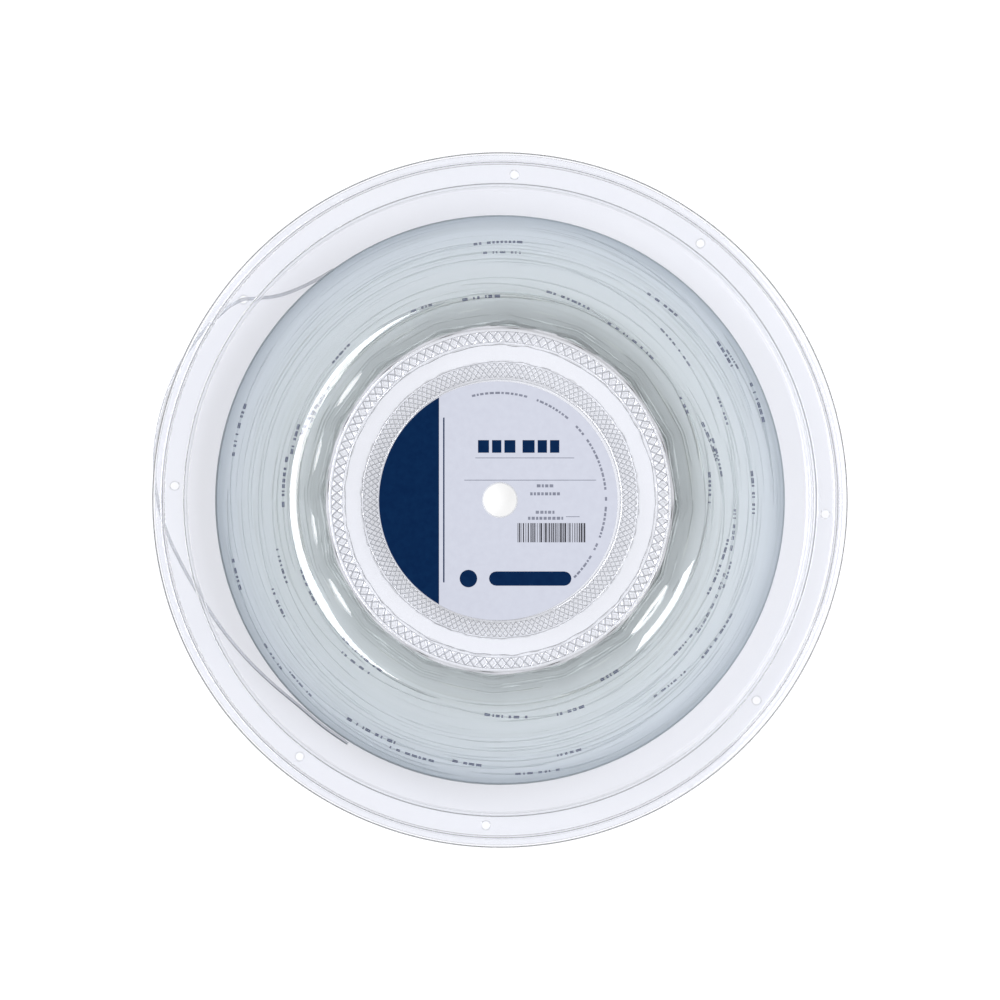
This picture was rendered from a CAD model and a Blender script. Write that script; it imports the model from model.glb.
import math
import random

import bmesh
import bpy
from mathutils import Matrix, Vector, noise


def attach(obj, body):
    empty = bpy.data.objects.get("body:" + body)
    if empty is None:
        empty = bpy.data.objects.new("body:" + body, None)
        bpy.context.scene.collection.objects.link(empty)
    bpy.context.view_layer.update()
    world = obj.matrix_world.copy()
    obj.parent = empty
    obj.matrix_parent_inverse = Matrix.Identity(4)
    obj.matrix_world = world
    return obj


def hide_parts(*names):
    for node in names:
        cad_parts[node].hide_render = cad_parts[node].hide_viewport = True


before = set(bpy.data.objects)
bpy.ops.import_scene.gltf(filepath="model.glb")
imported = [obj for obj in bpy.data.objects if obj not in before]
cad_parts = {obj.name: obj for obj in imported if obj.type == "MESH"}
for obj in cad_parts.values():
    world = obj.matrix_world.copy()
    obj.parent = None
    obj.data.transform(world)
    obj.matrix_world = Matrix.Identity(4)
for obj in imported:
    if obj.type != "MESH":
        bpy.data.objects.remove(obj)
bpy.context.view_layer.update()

scene = bpy.context.scene
MM = 0.001

# All sizes are in millimetres, in the row frame: the reel lies on its rear rim, its axis
# is Z, and the two shells meet at WELD_Z.
WELD_Z = 13.9
SHEET = 0.8
HALF = SHEET / 2
STRING = 1.25
FRONT_TURN = math.radians(87.5)
REAR_TURN = math.radians(52)
RIBS = 16
BAY = math.tau / RIBS
BORE_R = 6.0
HOLES = 4
HOLE_R = 118.5
HOLE_D = 2.9
HOLE_SIDES = 24
WINDING_R = 103.8
WINDING_GAP = 0.15
STRAND_STEP = 1.17
LABEL_R = 43.5
LABEL_BORE_R = 6.5
LABEL_AT = Vector((-0.7, -0.3))
LABEL_Z = 14.95

# Heights of the middle of a shell's sheet above the weld plane.
FLANGE_Z = 8.9
RING_Z = 10.9
RIM_Z = 13.5
# The hub wall: where it leaves the centre disc and meets the flange, and the roundings there.
WALL_FOOT_R = 62.5
WALL_TOP_R = 73
FOOT_ROUND = 1.6
TOP_ROUND = 15
# The middle of a shell's sheet as (radius, height above the weld plane, rounding, steps).
SHEET_CORNERS = [
    (BORE_R, HALF, 0, 0), (WALL_FOOT_R, HALF, FOOT_ROUND, 5), (WALL_TOP_R, FLANGE_Z, TOP_ROUND, 12),
    (113.9, FLANGE_Z, 0.65, 5), (115.2, RING_Z, 0.65, 5), (122.6, RING_Z, 0.7, 5),
    (123.2, RIM_Z, 0.7, 5), (126, RIM_Z, 0.7, 5), (126.3, 11.9, 0, 0),
]
# The stretch of the ring round the string holes that is meshed apart, and its circles.
HOLES_FROM = 116.2
HOLES_TO = 121
HOLE_RINGS = (116.4, 117.5, 118.5, 119.5, 120.6)
# Where the outer weld ring ends, and how far each weld face stays from the weld plane.
WELD_END_R = 61.6
WELD_GAP = 0.03

# The middle line of the loose string end.
TAIL_ROUTE = [
    (-55.4, -88.7, 14), (-64.4, -82.4, 14), (-72.8, -75.3, 14), (-82.7, -67, 14),
    (-92.3, -57.7, 14.2), (-99.9, -48.7, 14.4), (-106.7, -38.9, 14.6), (-115.3, -24.5, 14.8),
    (-122.4, -8.6, 14.6), (-125.6, 6.6, 14.2), (-125.2, 22, 13.4), (-121.7, 37.2, 12),
    (-115.4, 51.2, 9.8), (-107.6, 61.8, 7.3), (-102.3, 67.1, 5.9), (-97.6, 71.05, 5.2),
    (-95.2, 72.25, 4.5), (-94.2, 72.75, 3.75), (-92.6, 73.15, 2.25), (-91.45, 73.2, 1.55),
    (-86.65, 73.55, 1), (-82, 74.1, 1.5), (-76.2, 75.8, 2), (-71, 78, 2.4),
    (-66, 80.6, 2.7), (-60.5, 83.9, 2.9),
]


# ---------------------------------------------------------------- camera and cord

def add_camera():
    data = bpy.data.cameras.new("camera")
    data.type = "ORTHO"
    data.ortho_scale = 0.364
    data.clip_end = 10
    cam = bpy.data.objects.new("camera", data)
    cam.location = (0, 0, 0.6)
    scene.collection.objects.link(cam)
    scene.camera = cam


def add_mesh(name, verts, faces, *mats):
    mesh = bpy.data.meshes.new(name)
    mesh.from_pydata([(v[0] * MM, v[1] * MM, v[2] * MM) for v in verts], [], faces)
    mesh.validate()
    obj = bpy.data.objects.new(name, mesh)
    for mat in mats:
        mesh.materials.append(mat)
    scene.collection.objects.link(obj)
    return obj


def finish_mesh(obj, angle=None):
    """Outward normals and smooth shading, with edges sharper than angle kept."""
    bm = bmesh.new()
    bm.from_mesh(obj.data)
    bmesh.ops.recalc_face_normals(bm, faces=bm.faces)
    bm.to_mesh(obj.data)
    bm.free()
    obj.data.shade_smooth()
    if angle is not None:
        obj.data.set_sharp_from_angle(angle=math.radians(angle))
    return obj


def slope(p, i):
    """The curve's direction at point i, the shorter of its two sides counting for more."""
    last = len(p) - 1
    a = p[max(i, 1)] - p[max(i, 1) - 1]
    b = p[min(i, last - 1) + 1] - p[min(i, last - 1)]
    return (a.normalized() * b.length + b.normalized() * a.length) / (a.length + b.length)


def smooth(points, steps):
    """A smooth curve through points, with so many steps from each to the next."""
    p = [Vector(q) for q in points]
    out = []
    for i in range(len(p) - 1):
        chord = (p[i + 1] - p[i]).length
        for k in range(steps):
            t = k / steps
            out.append(
                (2 * t**3 - 3 * t * t + 1) * p[i] + (t**3 - 2 * t * t + t) * chord * slope(p, i)
                + (3 * t * t - 2 * t**3) * p[i + 1] + (t**3 - t * t) * chord * slope(p, i + 1)
            )
    out.append(p[-1])
    return out


def tube(line, radius, sides, ends=0.0):
    """Vertices and faces of a closed tube round a line; ends rounds off its two ends."""
    verts, faces = [], []
    n = len(line)
    for i, at in enumerate(line):
        ahead = line[min(i + 1, n - 1)] - line[max(i, 1) - 1]
        side = Vector((0, 0, 1)).cross(ahead).normalized()
        up = ahead.cross(side).normalized()
        r = radius * (1 - ends if i in (0, n - 1) else 1)
        for k in range(sides):
            a = math.tau * (k + 0.5) / sides
            verts.append(at + r * (math.cos(a) * side + math.sin(a) * up))
    for i in range(n - 1):
        for k in range(sides):
            m = (k + 1) % sides
            faces.append((i * sides + k, (i + 1) * sides + k, (i + 1) * sides + m, i * sides + m))
    faces.append(tuple(range(sides)))
    faces.append(tuple((n - 1) * sides + k for k in reversed(range(sides))))
    return verts, faces


add_camera()
tail_line = smooth(TAIL_ROUTE, 5)
tail = add_mesh("tail_string", *tube(tail_line, STRING / 2, 14, 0.12))
finish_mesh(tail, 50)


# ---------------------------------------------------------------- materials

class Nodes:
    """A small helper for writing a material's nodes."""

    def __init__(self, name):
        self.mat = bpy.data.materials.new(name)
        self.mat.use_nodes = True
        self.tree = self.mat.node_tree
        self.tree.nodes.clear()

    def add(self, kind, **inputs):
        node = self.tree.nodes.new(kind)
        for key, value in inputs.items():
            self.set(node, key, value)
        return node

    def set(self, node, key, value):
        socket = node.inputs[key.replace("_", " ")] if isinstance(key, str) else node.inputs[key]
        if isinstance(value, bpy.types.NodeSocket):
            self.tree.links.new(value, socket)
        else:
            socket.default_value = value

    def maths(self, how, a, b=0.0):
        node = self.add("ShaderNodeMath")
        node.operation = how
        self.set(node, 0, a)
        self.set(node, 1, b)
        return node.outputs[0]

    def ramp(self, fac, stops):
        node = self.add("ShaderNodeValToRGB")
        self.set(node, "Fac", fac)
        elements = node.color_ramp.elements
        while len(elements) < len(stops):
            elements.new(0.5)
        for element, (at, colour) in zip(elements, stops):
            element.position = at
            element.color = (*colour, 1)
        return node.outputs["Color"]

    def noise(self, vector, scale, detail=3.0, rough=0.5):
        node = self.add("ShaderNodeTexNoise", Scale=scale, Detail=detail, Roughness=rough)
        if vector is not None:
            self.set(node, "Vector", vector)
        return node.outputs["Fac"]

    def place(self):
        return self.add("ShaderNodeTexCoord").outputs["Object"]

    def polar(self):
        """Radius in metres and angle in turns of the point being shaded."""
        split = self.add("ShaderNodeSeparateXYZ", Vector=self.place())
        x, y = split.outputs["X"], split.outputs["Y"]
        squares = self.maths("ADD", self.maths("MULTIPLY", x, x), self.maths("MULTIPLY", y, y))
        turn = self.maths("DIVIDE", self.maths("ARCTAN2", y, x), math.tau)
        return self.maths("SQRT", squares), turn

    def bump(self, height, strength, distance):
        node = self.add("ShaderNodeBump", Strength=strength, Distance=distance, Height=height)
        return node.outputs["Normal"]

    def open_to_lamps(self, skin, colour):
        """The skin, but rays on their way to a lamp pass straight through, in this colour."""
        path = self.add("ShaderNodeLightPath")
        straight = self.add("ShaderNodeBsdfTransparent", Color=(*colour, 1))
        mix = self.add("ShaderNodeMixShader", Fac=path.outputs["Is Shadow Ray"])
        self.set(mix, 1, skin.outputs[0])
        self.set(mix, 2, straight.outputs[0])
        return mix.outputs[0]

    def out(self, shader):
        self.add("ShaderNodeOutputMaterial", Surface=shader)
        return self.mat


def clear_plastic(name="clear_plastic", dark=(0.918, 0.924, 0.953), light=(0.927, 0.932, 0.958)):
    n = Nodes(name)
    wave = n.noise(n.place(), 22.0, 2.0, 0.4)
    tint = n.ramp(wave, [(0.3, dark), (0.7, light)])
    skin = n.add(
        "ShaderNodeBsdfPrincipled", Base_Color=tint, Roughness=0.02, IOR=1.56,
        Normal=n.bump(wave, 0.05, 0.002),
    )
    n.set(skin, "Transmission Weight", 1.0)
    return n.out(n.open_to_lamps(skin, (0.97, 0.975, 0.985)))


def wound_string():
    n = Nodes("wound_string")
    radius, turn = n.polar()

    def streaks(across, along, detail, rough):
        """Noise that is drawn out round the axis."""
        x, y = n.maths("MULTIPLY", radius, across), n.maths("MULTIPLY", turn, along)
        at = n.add("ShaderNodeCombineXYZ", X=x, Y=y)
        return n.noise(at.outputs[0], 1.0, detail, rough)

    fine = streaks(900.0, 2.2, 3.0, 0.6)
    broad = streaks(150.0, 5.0, 2.0, 0.5)
    # From 0 at the hub wall to 1 at the winding's edge; radius is in metres here.
    first_turn, depth = 0.062, 0.042
    where = n.maths("DIVIDE", n.maths("SUBTRACT", radius, first_turn), depth)
    base = n.ramp(where, [
        (0.0, (0.66, 0.71, 0.70)), (0.3, (0.78, 0.835, 0.84)), (0.7, (0.80, 0.86, 0.89)),
        (0.86, (0.74, 0.80, 0.85)), (1.0, (0.44, 0.50, 0.56)),
    ])
    mixed = n.maths("ADD", n.maths("MULTIPLY", fine, 0.55), n.maths("MULTIPLY", broad, 0.45))
    shade = n.ramp(mixed, [
        (0.3, (0.86, 0.87, 0.85)), (0.5, (0.97, 0.98, 0.98)), (0.68, (1.0, 1.0, 1.0)),
    ])
    mix = n.add("ShaderNodeMix")
    mix.data_type = "RGBA"
    mix.blend_type = "MULTIPLY"
    mix.inputs[0].default_value = 1.0
    n.set(mix, 6, base)
    n.set(mix, 7, shade)
    skin = n.add("ShaderNodeBsdfPrincipled", Base_Color=mix.outputs[2], Roughness=0.42, IOR=1.5)
    return n.out(skin.outputs[0])


def loose_string():
    n = Nodes("loose_string")
    cloud = n.noise(n.place(), 160.0, 3.0, 0.5)
    tint = n.ramp(cloud, [(0.3, (0.72, 0.735, 0.77)), (0.7, (0.80, 0.81, 0.84))])
    skin = n.add("ShaderNodeBsdfPrincipled", Base_Color=tint, Roughness=0.03, IOR=1.58)
    n.set(skin, "Transmission Weight", 0.95)
    return n.out(n.open_to_lamps(skin, (0.7, 0.72, 0.76)))


def paper(name, dark, light, rough=0.45, grain=420.0, shine=0.35):
    n = Nodes(name)
    spot = n.noise(n.place(), grain, 4.0, 0.6)
    tint = n.ramp(spot, [(0.3, dark), (0.7, light)])
    skin = n.add(
        "ShaderNodeBsdfPrincipled", Base_Color=tint, Roughness=rough, IOR=1.45,
        Normal=n.bump(spot, 0.08, 0.0002),
    )
    n.set(skin, "Specular IOR Level", shine)
    return n.out(skin.outputs[0])


CLEAR = clear_plastic()
PRESSED = clear_plastic("pressed_plastic", (0.24, 0.25, 0.28), (0.33, 0.34, 0.37))
WOUND = wound_string()
LOOSE = loose_string()
LABEL = paper("label_paper", (0.485, 0.50, 0.58), (0.51, 0.527, 0.607))
NAVY = paper("navy_print", (0.001, 0.013, 0.055), (0.002, 0.018, 0.066), 0.5, 420.0, 0.02)
GREY = paper("grey_print", (0.14, 0.15, 0.20), (0.20, 0.21, 0.27))
BLACK = paper("black_print", (0.012, 0.012, 0.02), (0.03, 0.03, 0.045))
MARKS = paper("string_marks", (0.03, 0.04, 0.11), (0.12, 0.15, 0.24), 0.4, 700.0)
tail.data.materials.append(LOOSE)


# ---------------------------------------------------------------- shells

def turn_2d(a, b):
    """The angle from a to b, positive to the left."""
    return math.atan2(a.x * b.y - a.y * b.x, a.x * b.x + a.y * b.y)


def sheet_path():
    """The middle of the sheet with its corners rounded and its long runs divided."""
    p = [Vector(c[:2]) for c in SHEET_CORNERS]
    path = [p[0]]
    for i in range(1, len(p) - 1):
        radius, steps = SHEET_CORNERS[i][2:]
        a, b = (p[i] - p[i - 1]).normalized(), (p[i + 1] - p[i]).normalized()
        turn = turn_2d(a, b)
        side = 1 if turn > 0 else -1
        start = p[i] - a * radius * math.tan(abs(turn) / 2)
        middle = start + side * radius * Vector((-a.y, a.x))
        heading = math.atan2(a.y, a.x)
        for k in range(steps + 1):
            d = heading + turn * k / steps
            path.append(middle + side * radius * Vector((math.sin(d), -math.cos(d))))
    path.append(p[-1])
    return path


def beside(path, d):
    """The path moved sideways by d, to its left."""
    out = []
    for i, at in enumerate(path):
        before = (path[i] - path[i - 1]) if i else (path[1] - path[0])
        after = (path[i + 1] - path[i]) if i < len(path) - 1 else before
        half = (before.normalized() + after.normalized()).normalized()
        out.append(at + Vector((-half.y, half.x)) * d / half.dot(before.normalized()))
    return out


# A formed sheet draws thin at the rim and at the step. THIN_AT is where the string's side of
# the thinnest sheet would lie, from the middle of the full one.
THIN_AT = 0.08
RIM_FROM = 122.3
RIM_SHARE = 0.22
STEP_MID = 114.4
STEP_HALF = 0.3
STEP_FADE = 0.35
STEP_SHARE = 0.8


def thickness(r):
    """Share of the way from the thinnest sheet to the full one, at radius r."""
    if r > RIM_FROM:
        return RIM_SHARE
    away = max(0.0, abs(r - STEP_MID) - STEP_HALF) / STEP_FADE
    return STEP_SHARE + (1 - STEP_SHARE) * min(1.0, away)


WALL_LOW = Vector((WALL_FOOT_R, HALF))
WALL_HIGH = Vector((WALL_TOP_R, FLANGE_Z))
WALL_RUN = WALL_HIGH - WALL_LOW
WALL_DIR = WALL_RUN.normalized()
WALL_OUT = Vector((WALL_DIR.y, -WALL_DIR.x))
WALL_TURN = math.atan2(WALL_RUN.y, WALL_RUN.x)
SCALLOP_DEPTH = 1.2
SCALLOP_H = 8.0
SCALLOP_R = ((SCALLOP_H / 2) ** 2 + SCALLOP_DEPTH**2) / (2 * SCALLOP_DEPTH)
# The scallops sit a little above the middle of the wall's straight stretch.
SCALLOP_LIFT = 0.5
STRAIGHT_FROM = FOOT_ROUND * math.tan(WALL_TURN / 2)
STRAIGHT_TO = WALL_RUN.length - TOP_ROUND * math.tan(WALL_TURN / 2)
SCALLOP_MID = (STRAIGHT_FROM + STRAIGHT_TO) / 2 + SCALLOP_LIFT
SCALLOP_AT = WALL_LOW + WALL_DIR * SCALLOP_MID + WALL_OUT * (HALF + SCALLOP_R - SCALLOP_DEPTH)


def scallop(at, angle):
    """How far the hub wall is pushed in, square to its slope, at a point of its section."""
    phi = (angle % BAY) - BAY / 2
    shift = SCALLOP_AT.x * (1 / math.cos(phi) - 1)
    along = (at - WALL_LOW).dot(WALL_DIR) - SCALLOP_MID - shift * WALL_DIR.x
    if abs(along) >= SCALLOP_R or not WALL_LOW.x - 1 < at.x < WALL_HIGH.x + 3:
        return 0.0
    bulge = math.sqrt(SCALLOP_R**2 - along**2) - (SCALLOP_R - SCALLOP_DEPTH) - shift * WALL_OUT.x
    return max(0.0, bulge)


def stretches(a, b):
    """Into how many parts the run from a out to b is divided: the hub wall into the most."""
    gap = (b - a).length
    return 12 if 60 < a.x < 70 and gap > 3 else min(6, int(gap // 6))


class Shell:
    """Gathers the vertices and faces of one formed shell, from ring to ring."""

    def __init__(self, columns=320):
        self.n = columns
        self.verts = []
        self.faces = []
        self.pressed = []

    def point(self, r, angle, z):
        self.verts.append((r * math.cos(angle), r * math.sin(angle), z))
        return len(self.verts) - 1

    def ring(self, at, wavy=None):
        """One ring at a point of the section, pushed in by the scallops."""
        loop = []
        for k in range(self.n):
            a = math.tau * k / self.n
            d = scallop(at, a)
            p = at - WALL_OUT * d
            r = p.x + (wavy(a) if wavy else 0)
            loop.append((a, self.point(r, a, p.y)))
        return loop

    def join(self, inner, outer, pressed=False):
        """Faces between two loops, each a list of (angle, vertex)."""
        if len(inner) == len(outer):
            n = len(inner)
            for k in range(n):
                m = (k + 1) % n
                if pressed:
                    self.pressed.append(len(self.faces))
                self.faces.append((inner[k][1], outer[k][1], outer[m][1], inner[m][1]))
            return
        a = inner + [(inner[0][0] + math.tau, inner[0][1])]
        b = outer + [(outer[0][0] + math.tau, outer[0][1])]
        i = j = 0
        while i < len(a) - 1 or j < len(b) - 1:
            if j == len(b) - 1 or (i < len(a) - 1 and a[i + 1][0] <= b[j + 1][0]):
                self.faces.append((a[i][1], b[j][1], a[i + 1][1]))
                i += 1
            else:
                self.faces.append((a[i][1], b[j][1], b[j + 1][1]))
                j += 1

    def knurl(self, r1, r2, cells, rows, z, depth):
        """A ring of pressed diamonds. Returns its inner and outer loops."""
        # Shares of a cell's size at the brink of its dent and at its bottom.
        whole, cut = (0.86, 0.7), (0.8, 0.5)
        nodes = {}

        def spot(k, m):
            r = r1 + (r2 - r1) * k / rows
            a = math.pi * m / cells
            return Vector((r * math.cos(a), r * math.sin(a)))

        def node(k, m):
            key = (k, m % (2 * cells))
            if key not in nodes:
                nodes[key] = self.point(r1 + (r2 - r1) * k / rows, math.pi * key[1] / cells, z)
            return nodes[key]

        def cell(corners, top, low):
            outer = [node(*c) for c in corners]
            spots = [spot(*c) for c in corners]
            middle = sum(spots, Vector((0, 0))) / len(spots)
            loops = [outer]
            for share, height in ((top, z), (low, z - depth)):
                loop = []
                for s in spots:
                    q = middle + (s - middle) * share
                    self.verts.append((q.x, q.y, height))
                    loop.append(len(self.verts) - 1)
                loops.append(loop)
            for a, b in zip(loops, loops[1:]):
                for i in range(len(a)):
                    j = (i + 1) % len(a)
                    if a is outer:
                        self.pressed.append(len(self.faces))
                    self.faces.append((a[i], a[j], b[j], b[i]))
            self.faces.append(tuple(loops[-1]))

        for k in range(rows + 1):
            for m in range(2 * cells):
                if (k + m) % 2 == 0:
                    continue
                if k == 0:
                    cell([(0, m - 1), (1, m), (0, m + 1)], *cut)
                elif k == rows:
                    cell([(rows, m - 1), (rows, m + 1), (rows - 1, m)], *cut)
                else:
                    cell([(k, m - 1), (k + 1, m), (k, m + 1), (k - 1, m)], *whole)
        ends = []
        for k in (0, rows):
            loop = [(math.pi * m / cells, node(k, m)) for m in range(2 * cells) if (k + m) % 2 == 0]
            ends.append(loop)
        return ends

    def hole_loops(self, z, lift):
        """Round loops for each string hole at height z, over the raised burr to its edge."""
        holes = []
        for i in range(HOLES):
            turn = math.tau * i / HOLES
            middle = Vector((HOLE_R * math.cos(turn), HOLE_R * math.sin(turn)))
            loops = []
            for wider, up in ((0.4, 0.0), (0.2, lift), (0.0, 0.0)):
                loop = []
                for k in range(HOLE_SIDES):
                    a = math.tau * k / HOLE_SIDES
                    q = middle + (HOLE_D / 2 + wider) * Vector((math.cos(a), math.sin(a)))
                    self.verts.append((q.x, q.y, z + up))
                    loop.append((a, len(self.verts) - 1))
                loops.append(loop)
            for a, b in zip(loops, loops[1:]):
                self.join(a, b)
            holes.append(loops)
        return holes

    def ring_with_holes(self, radii, z, holes):
        """The flat ring at the radii given, with a patch left open round each hole."""
        loops = [self.ring(Vector((r, z))) for r in radii]
        quarter = self.n // HOLES
        for low, high in zip(loops, loops[1:]):
            for k in range(self.n):
                m = (k + 1) % self.n
                if k % quarter == 0 or (k + 1) % quarter == 0:
                    continue
                self.faces.append((low[k][1], high[k][1], high[m][1], low[m][1]))
        for i, hole in enumerate(holes):
            turn = math.tau * i / HOLES
            middle = Vector((HOLE_R * math.cos(turn), HOLE_R * math.sin(turn)))
            cols = [(quarter * i + c) % self.n for c in (-1, 0, 1)]
            edge = {loops[j][c][1] for j in range(len(loops)) for c in (cols[0], cols[2])}
            edge |= {loops[j][cols[1]][1] for j in (0, len(loops) - 1)}
            around = []
            for v in edge:
                x, y, _ = self.verts[v]
                around.append((math.atan2(y - middle.y, x - middle.x) % math.tau, v))
            around.sort()
            self.join(around, hole[0])
        return loops[0], loops[-1]


def shell_mesh(name, turn, flip, seed):
    """One clear formed shell as a thin closed body."""
    shell = Shell()
    path = sheet_path()
    air, string = beside(path, HALF), beside(path, -HALF)
    thin = beside(path, THIN_AT)
    string = [b.lerp(a, thickness(p.x)) for p, a, b in zip(path, string, thin)]
    top = SHEET

    def wavy(size, step):
        return lambda a: size * noise.noise(Vector((step * math.cos(a), step * math.sin(a), seed)))

    loops = []

    def link(loop, pressed=False):
        if loops:
            shell.join(loops[-1], loop, pressed)
        loops.append(loop)

    def skip_to(loop):
        loops.append(loop)

    # The side towards the air, from the spindle hole outwards.
    for r in (BORE_R, BORE_R + 0.15, 20.0, 38.0, 43.4):
        link(shell.ring(Vector((r, top))))
    for r, up in ((43.75, 0.0), (43.95, 0.09), (44.15, 0.0)):
        link(shell.ring(Vector((r, top + up)), wavy(0.18, 9)), up > 0)
    inner, outer = shell.knurl(44.6, 49.9, 146, 4, top - 0.01, 0.09)
    link(inner)
    skip_to(outer)
    for r, up in ((50.25, 0.0), (50.5, 0.12), (50.75, 0.0)):
        link(shell.ring(Vector((r, top + up)), wavy(0.55, 13)), up > 0)
    for r in (51.6, 55.6):
        link(shell.ring(Vector((r, top))))
    for r, up in ((56.35, 0.0), (56.6, 0.12), (56.85, 0.0)):
        link(shell.ring(Vector((r, top + up)), wavy(0.6, 11)), up > 0)
    inner, outer = shell.knurl(57.4, 61.5, 114, 2, top - 0.01, 0.11)
    link(inner)
    skip_to(outer)
    start = next(i for i, p in enumerate(air) if p.x > WELD_END_R)
    stop = next(i for i, p in enumerate(air) if p.x > HOLES_FROM)

    def run(points, first, last):
        for i in range(first, last):
            link(shell.ring(points[i]))
            a, b = points[i], points[min(i + 1, len(points) - 1)]
            parts = stretches(a, b)
            for k in range(1, parts):
                link(shell.ring(a.lerp(b, k / parts)))

    run(air, start, stop)
    top_holes = shell.hole_loops(air[stop].y, 0.11)
    link_to, far = shell.ring_with_holes(HOLE_RINGS, air[stop].y, top_holes)
    link(link_to)
    skip_to(far)
    after = next(i for i, p in enumerate(air) if p.x > HOLES_TO)
    run(air, after, len(air))
    # The side towards the string, from the rim back to the spindle hole.
    back_stop = next(i for i, p in enumerate(string) if p.x > HOLES_TO)
    for i in range(len(string) - 1, back_stop - 1, -1):
        link(shell.ring(string[i]))
    z = string[back_stop].y
    low_holes = shell.hole_loops(z, 0.0)
    near, far = shell.ring_with_holes(HOLE_RINGS, z, low_holes)
    link(far)
    skip_to(near)
    for a, b in zip(top_holes, low_holes):
        shell.join(a[-1], b[-1])
    before = max(i for i, p in enumerate(string) if p.x < HOLES_FROM)
    for i in range(before, 0, -1):
        a, b = string[i], string[i - 1]
        link(shell.ring(a))
        parts = stretches(b, a)
        for k in range(1, parts):
            q = a.lerp(b, k / parts)
            link(shell.ring(Vector((q.x, max(q.y, WELD_GAP)))))
    link(shell.ring(Vector((BORE_R, WELD_GAP))))
    shell.join(loops[-1], loops[0])

    side = -1 if flip else 1
    c, s = math.cos(turn), math.sin(turn)
    verts = [
        (x * c - y * s, x * s + y * c, WELD_Z + side * max(z, WELD_GAP))
        for x, y, z in shell.verts
    ]
    obj = add_mesh(name, verts, shell.faces, CLEAR, PRESSED)
    if not flip:
        for face in shell.pressed:
            obj.data.polygons[face].material_index = 1
    finish_mesh(obj, 24)
    return obj


# ---------------------------------------------------------------- label

def plate(outlines, low, high):
    """Flat plates: each outline is a closed list of (x, y)."""
    verts, faces = [], []
    for line in outlines:
        base, n = len(verts), len(line)
        verts += [(x, y, low) for x, y in line] + [(x, y, high) for x, y in line]
        faces.append(tuple(base + k for k in reversed(range(n))))
        faces.append(tuple(base + n + k for k in range(n)))
        for k in range(n):
            m = (k + 1) % n
            faces.append((base + k, base + m, base + n + m, base + n + k))
    return verts, faces


def box_2d(x1, y1, x2, y2):
    return [(x1, y1), (x2, y1), (x2, y2), (x1, y2)]


def pill(x1, y1, x2, y2):
    """A bar with round ends."""
    r = (y2 - y1) / 2
    out = []
    for middle, first in ((x2 - r, -90), (x1 + r, 90)):
        for k in range(9):
            a = math.radians(first + 180 * k / 8)
            out.append((middle + r * math.cos(a), y1 + r + r * math.sin(a)))
    return out


def dot(x, y, r, sides=24):
    turns = [math.tau * k / sides for k in range(sides)]
    return [(x + r * math.cos(a), y + r * math.sin(a)) for a in turns]


def on_label(r, a):
    return LABEL_AT.x + r * math.cos(a), LABEL_AT.y + r * math.sin(a)


def arc_dash(r, a1, a2, width):
    """A short bar bent round the label's middle."""
    steps = 3
    turns = [a1 + (a2 - a1) * k / steps for k in range(steps + 1)]
    return [on_label(r + width, a) for a in turns] + [on_label(r, a) for a in reversed(turns)]


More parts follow.
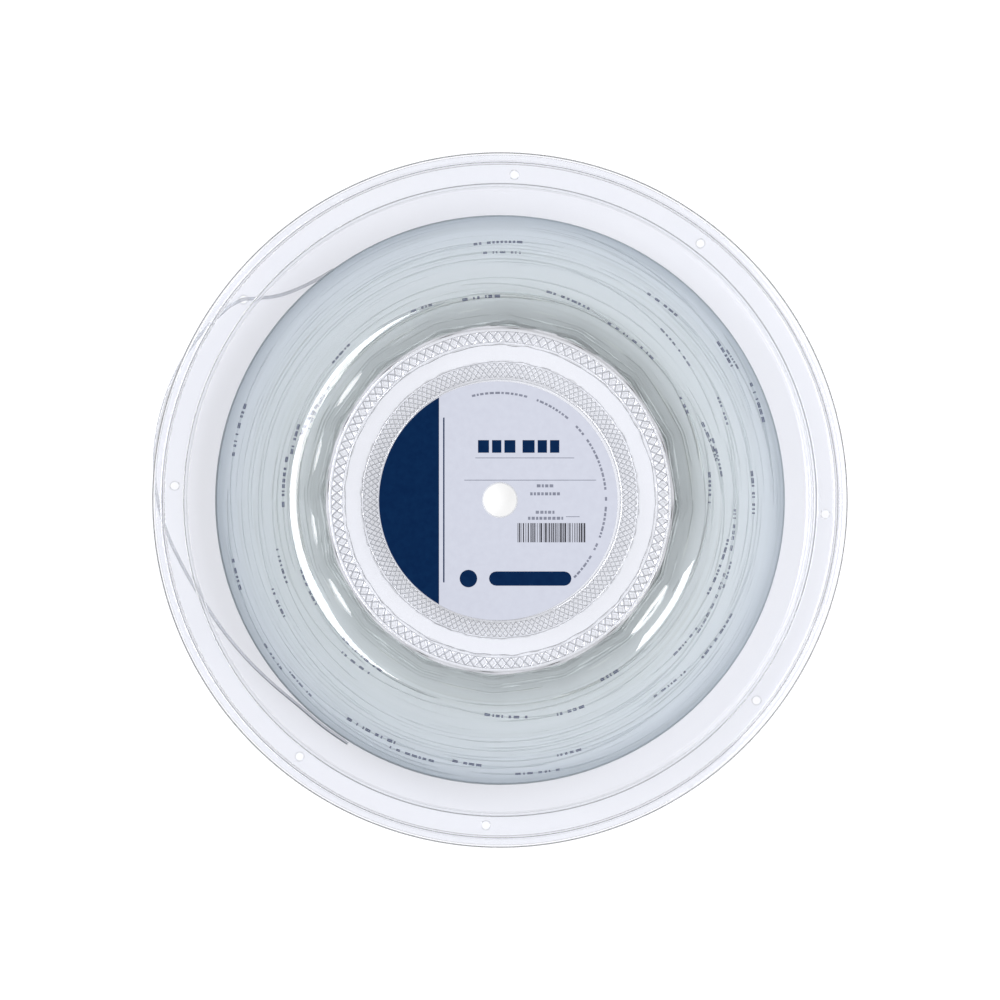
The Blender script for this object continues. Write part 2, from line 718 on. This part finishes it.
def label_pieces():
    # The disc, with a soft edge. Its hole is true to the axis and its outline is off it.
    verts, faces, loops = [], [], []
    n = 160
    thick = 0.23
    edge = [
        (LABEL_BORE_R, -thick), (LABEL_BORE_R, -0.03), (LABEL_BORE_R + 0.03, 0),
        (LABEL_R - 0.06, 0), (LABEL_R, -0.04), (LABEL_R, -thick),
    ]
    for r, z in edge:
        share = (r - LABEL_BORE_R) / (LABEL_R - LABEL_BORE_R)
        loop = []
        for k in range(n):
            a = math.tau * k / n
            x, y = LABEL_AT.x * share + r * math.cos(a), LABEL_AT.y * share + r * math.sin(a)
            verts.append((x, y, LABEL_Z + z))
            loop.append(len(verts) - 1)
        loops.append(loop)
    for a, b in zip(loops, loops[1:] + loops[:1]):
        for k in range(n):
            m = (k + 1) % n
            faces.append((a[k], b[k], b[m], a[m]))
    disc = finish_mesh(add_mesh("label_disc", verts, faces, LABEL), 30)

    rand = random.Random(7)
    low, high = LABEL_Z - 0.01, LABEL_Z + 0.02
    # A plain navy field, cut straight at its right edge, with a pinstripe beside it.
    field_x, field_r = -21.5, LABEL_R - 0.15
    half = math.acos(field_x / field_r)
    field = [on_label(field_r, half + (math.tau - 2 * half) * k / 60) for k in range(61)]
    navy = [field, box_2d(-20.7, -30, -20.2, 30)]
    # A row of plain blocks where the name of the string would be.
    x = -8.0
    for k in range(6):
        width = rand.choice((3.4, 4.0, 4.4))
        navy.append(box_2d(x, 17.2, x + width, 21.8))
        x += width + (2.6 if k == 2 else 1.1)
    navy.append(pill(-4, -31.2, 26, -26))
    navy.append(dot(-11.5, -28.6, 3.2))
    grey = [box_2d(-9, 15.2, 27, 15.45), box_2d(-13, 7.1, 35, 7.35), box_2d(24, -6.2, 29, -5.95)]
    # Dashes for the small print, in lines and round the edge.
    for y, x1, x2 in ((4.6, 13.4, 19.4), (1.7, 11.0, 21.8), (-5.0, 13, 20.2), (-7.2, 10.2, 23)):
        x = x1
        while x < x2 - 0.5:
            width = rand.uniform(0.7, 1.5)
            grey.append(box_2d(x, y, min(x + width, x2), y + 1.1))
            x += width + 0.45
    a = math.radians(104)
    while a > math.radians(-46):
        width = math.radians(rand.uniform(0.9, 2.6))
        if rand.random() < 0.86:
            grey.append(arc_dash(38.9, a - width, a, 0.8))
        a -= width + math.radians(0.75)
    # Bars of random widths, which encode nothing.
    bars = []
    x = 6.4
    while x < 31:
        width = rand.choice((0.22, 0.22, 0.44, 0.66))
        bars.append(box_2d(x, -15.4, x + width, -8.4))
        x += width + rand.choice((0.25, 0.35, 0.55))
    parts = [disc]
    prints = (("label_navy", navy, NAVY), ("label_grey", grey, GREY), ("label_bars", bars, BLACK))
    for name, lines, mat in prints:
        parts.append(add_mesh(name, *plate(lines, low, high), mat))
        finish_mesh(parts[-1], 20)
    return parts


# ---------------------------------------------------------------- winding

def bay_pull(r, angle):
    """How much nearer the axis a taut strand runs between two ribs, near the hub."""
    hold = min(1.0, max(0.0, (76 - r) / 9))
    phi = (angle % BAY) - BAY / 2
    return r * hold * (1 - math.cos(BAY / 2) / math.cos(phi))


def strand_seats():
    """Middles of the strands that lie against one shell, as (radius, height)."""
    line = []
    path = beside(sheet_path(), -HALF - WINDING_GAP - STRING / 2 - 0.05)
    for a, b in zip(path, path[1:]):
        parts = max(1, int((b - a).length))
        line += [a.lerp(b, k / parts) for k in range(parts)]
    line = [p for p in line if p.y > 0.5]
    line = [p for p in line if p.x < WINDING_R - STRING / 2]
    line.append(Vector((WINDING_R - STRING / 2 - 0.1, line[-1].y)))
    seats, carry = [], 0.0
    for a, b in zip(line, line[1:]):
        run = (b - a).length
        while carry < run:
            seats.append(a.lerp(b, carry / run))
            carry += STRAND_STEP
        carry -= run
    return seats


# The faces of a printed dash: four vertices at its start, then four at its end.
MARK_FACES = [(0, 1, 2, 3), (7, 6, 5, 4), (3, 2, 6, 7), (1, 0, 4, 5), (0, 3, 7, 4), (2, 1, 5, 6)]


def winding_pieces():
    rand = random.Random(11)
    verts, faces = [], []
    tops = []

    def put(line, radius, sides):
        v, f = tube(line, radius, sides)
        base = len(verts)
        verts.extend(v)
        faces.extend(tuple(base + i for i in face) for face in f)

    def loop(seat, side, turn, steps, tag):
        """One strand all the way round, wandering a little in radius and depth."""
        line = []
        lift = rand.uniform(0.0, 0.16)
        for k in range(steps + 1):
            a = math.tau * k / steps
            c, s = 1.3 * math.cos(a), 1.3 * math.sin(a)
            wander = 0.42 * noise.noise(Vector((c, s, tag * 3.1)))
            dip = 0.34 * abs(noise.noise(Vector((c * 1.4, s * 1.4, tag * 5.7 + 40)))) + lift
            r = seat.x + wander - bay_pull(seat.x, a - turn)
            r = min(r, WINDING_R - STRING / 2)
            line.append(Vector((r * math.cos(a), r * math.sin(a), WELD_Z + side * (seat.y - dip))))
        put(line, STRING / 2, 6)

    seats = strand_seats()
    for i, seat in enumerate(seats):
        loop(seat, 1, FRONT_TURN, 192, i)
    for i, seat in enumerate(seats):
        loop(seat, -1, REAR_TURN, 128, i + 200)
    # The outermost turns, seen from the side between the flanges.
    low, high = -7.0, 7.1
    z = low
    i = 400
    while z < high:
        line = []
        for k in range(129):
            a = math.tau * k / 128
            c, s = math.cos(a), math.sin(a)
            r = WINDING_R - STRING / 2 - 0.2 * abs(noise.noise(Vector((c, s, i * 2.3))))
            wander = 0.3 * noise.noise(Vector((c, s, i * 4.1)))
            line.append(Vector((r * c, r * s, WELD_Z + z + wander)))
        put(line, STRING / 2, 6)
        z += STRAND_STEP
        i += 1
    # Strands that cross to the next layer, a little proud of the others.
    face_z = seats[-1].y
    for number in range(64):
        r1 = rand.uniform(74, 100)
        r2 = min(101.5, max(73.5, r1 + rand.choice((-1, 1)) * rand.uniform(0.6, 4.5)))
        first = rand.uniform(0, math.tau)
        wide = rand.uniform(0.7, 1.7)
        side = -1 if number % 4 == 3 else 1
        steps = int(wide * 28)
        line = []
        for k in range(steps + 1):
            t = k / steps
            a = first + wide * t
            r = r1 + (r2 - r1) * t * t * (3 - 2 * t)
            sink = 1.1 * max(0.0, 1 - min(t, 1 - t) / 0.16) ** 2
            z = WELD_Z + side * (face_z - 0.03 - sink)
            line.append(Vector((r * math.cos(a), r * math.sin(a), z)))
        put(line, STRING / 2, 6)
        if side > 0:
            tops.append(line[steps // 4: -steps // 4])
    # The body of the winding under the strands.
    core = [(p.x - 0.1, p.y + 0.45) for p in seats if p.x < WINDING_R - 1.4]
    core.append((WINDING_R - 0.75, core[-1][1]))
    outline = core + [(r, -z) for r, z in reversed(core)]
    columns = 192
    base = len(verts)
    for r, z in outline:
        for k in range(columns):
            a = math.tau * k / columns
            q = r - bay_pull(r, a - (FRONT_TURN if z > 0 else REAR_TURN))
            verts.append((q * math.cos(a), q * math.sin(a), WELD_Z + z))
    for i in range(len(outline)):
        here = base + i * columns
        there = base + (i + 1) % len(outline) * columns
        for k in range(columns):
            m = (k + 1) % columns
            faces.append((here + k, here + m, there + m, there + k))
    body = add_mesh("wound_string_body", verts, faces, WOUND)
    finish_mesh(body, 60)

    # Plain printed dashes on some strands.
    verts, faces = [], []
    for line in tops:
        at = rand.uniform(0, len(line) * 0.5)
        lengths = [rand.choice((0.6, 0.9, 1.4, 2.0)) for _ in range(rand.randint(5, 10))]
        half = rand.uniform(0.3, 0.55)
        for mark in lengths:
            pts = []
            step = (line[1] - line[0]).length
            for share in (0.0, 1.0):
                f = at + share * mark / step
                k = min(int(f), len(line) - 2)
                pts.append(line[k].lerp(line[k + 1], f - k))
            ahead = (pts[1] - pts[0]).normalized()
            side = Vector((-ahead.y, ahead.x, 0))
            base = len(verts)
            for p in pts:
                for w, up in ((-half, 0.42), (half, 0.42), (half * 0.8, 0.6), (-half * 0.8, 0.6)):
                    verts.append(p + side * w + Vector((0, 0, up)))
            faces += [tuple(base + v for v in face) for face in MARK_FACES]
            at += (mark + rand.choice((0.6, 0.9, 2.0))) / step
            if at > len(line) - 4:
                break
    marks = add_mesh("string_marks", verts, faces, MARKS)
    finish_mesh(marks, 30)
    return body, marks


# ---------------------------------------------------------------- build

front = shell_mesh("front_shell_clear", FRONT_TURN, False, 3.0)
rear = shell_mesh("rear_shell_clear", REAR_TURN, True, 8.0)
label_parts = label_pieces()
winding, marks = winding_pieces()

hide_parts("front_shell")
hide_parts("rear_shell")
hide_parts("front_label")
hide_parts("string_winding")
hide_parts("string_tail")
for piece in (front, rear, *label_parts, winding, marks, tail):
    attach(piece, "root")


# ---------------------------------------------------------------- room and light

def floor_material():
    n = Nodes("pale_floor")
    grain = n.noise(n.place(), 3.0, 2.0, 0.5)
    tint = n.ramp(grain, [(0.3, (0.34, 0.34, 0.35)), (0.7, (0.36, 0.36, 0.37))])
    skin = n.add("ShaderNodeBsdfPrincipled", Base_Color=tint, Roughness=0.8)
    n.set(skin, "Emission Color", (1, 1, 1, 1))
    # Brightest straight up, as a lit backdrop some way below, so clear edges show darker.
    geometry = n.add("ShaderNodeNewGeometry")
    facing = n.add("ShaderNodeVectorMath")
    facing.operation = "DOT_PRODUCT"
    n.set(facing, 0, geometry.outputs["Incoming"])
    n.set(facing, 1, geometry.outputs["Normal"])
    fade = n.add("ShaderNodeMapRange")
    fade.interpolation_type = "SMOOTHSTEP"
    n.set(fade, "Value", facing.outputs["Value"])
    for key, value in (("From Min", 0.962), ("From Max", 0.9997), ("To Min", 0.62), ("To Max", 0.86)):
        n.set(fade, key, value)
    n.set(skin, "Emission Strength", fade.outputs[0])
    return n.out(skin.outputs[0])


def area_light(name, at, size, power, target=(0, 0, 0.02), colour=(1, 1, 1)):
    data = bpy.data.lights.new(name, "AREA")
    data.shape = "RECTANGLE"
    data.size, data.size_y = size
    data.energy = power
    data.color = colour
    obj = bpy.data.objects.new(name, data)
    obj.location = at
    obj.rotation_euler = (Vector(target) - Vector(at)).to_track_quat("-Z", "Y").to_euler()
    scene.collection.objects.link(obj)


bpy.ops.mesh.primitive_plane_add(size=6, location=(0, 0, -0.0005))
floor = bpy.context.object
floor.name = "floor"
floor.data.materials.append(floor_material())

world = bpy.data.worlds.new("studio")
scene.world = world
world.use_nodes = True
world.node_tree.nodes["Background"].inputs[0].default_value = (0.96, 0.98, 1.0, 1)
world.node_tree.nodes["Background"].inputs[1].default_value = 0.45
area_light("soft_right", (0.39, -0.02, 1.10), (0.8, 0.42), 9.9)
area_light("soft_left", (-0.62, 0.395, 0.98), (0.34, 0.36), 3.8)

scene.view_settings.view_transform = "Standard"
scene.cycles.max_bounces = 14
scene.cycles.transmission_bounces = 12
scene.cycles.transparent_max_bounces = 24
scene.cycles.sample_clamp_indirect = 4.0
scene.cycles.caustics_refractive = False
scene.cycles.caustics_reflective = False

bpy.context.view_layer.update()
